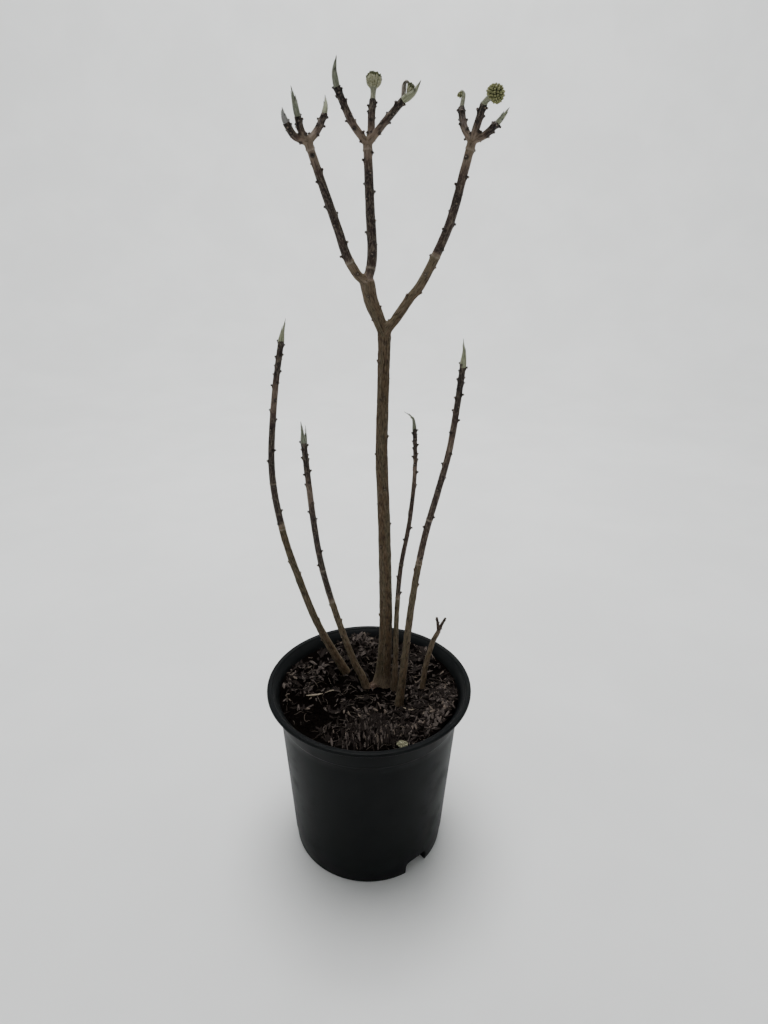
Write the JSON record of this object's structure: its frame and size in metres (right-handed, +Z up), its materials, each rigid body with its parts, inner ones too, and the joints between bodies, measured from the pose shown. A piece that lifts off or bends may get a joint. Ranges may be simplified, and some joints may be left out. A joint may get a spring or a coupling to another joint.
{
  "type": "potted paperbush",
  "caption": "Bare winter paperbush shrub with forked boughs, leaf-scarred stems, silky tip buds and green flower heads, in a round black nursery pot.",
  "frame": {"origin": "on the pot's axis, at the level its foot stands on", "axes": "+Z up along the stems, -Y towards the front, +X to the right seen from the front"},
  "size_m": [0.186, 0.186, 0.6725],
  "materials": {
    "pot": "satin black thin-walled plastic with faint scuffs and dust",
    "soil": "damp dark compost mulched with grey-brown bark chips",
    "old_wood": "olive-tan bark with fine fissures and leaf scars",
    "young_wood": "dark purplish-brown one-year bark with raised leaf scars",
    "twigs": "scarred brown twigs with silky grey-green buds and green flower heads"
  },
  "bodies": {
    "root": {"pot": "pot", "soil": "soil", "trunk": "old_wood", "leader_left": "old_wood", "bough_left": "young_wood", "bough_middle": "young_wood", "bough_right": "young_wood", "twigs_left": "twigs", "twigs_middle": "twigs", "twigs_right": "twigs", "stem_outer_left": "young_wood", "stem_inner_left": "young_wood", "stem_thin_right": "young_wood", "stem_outer_right": "young_wood", "stem_stub": "young_wood"}
  },
  "joints": []
}
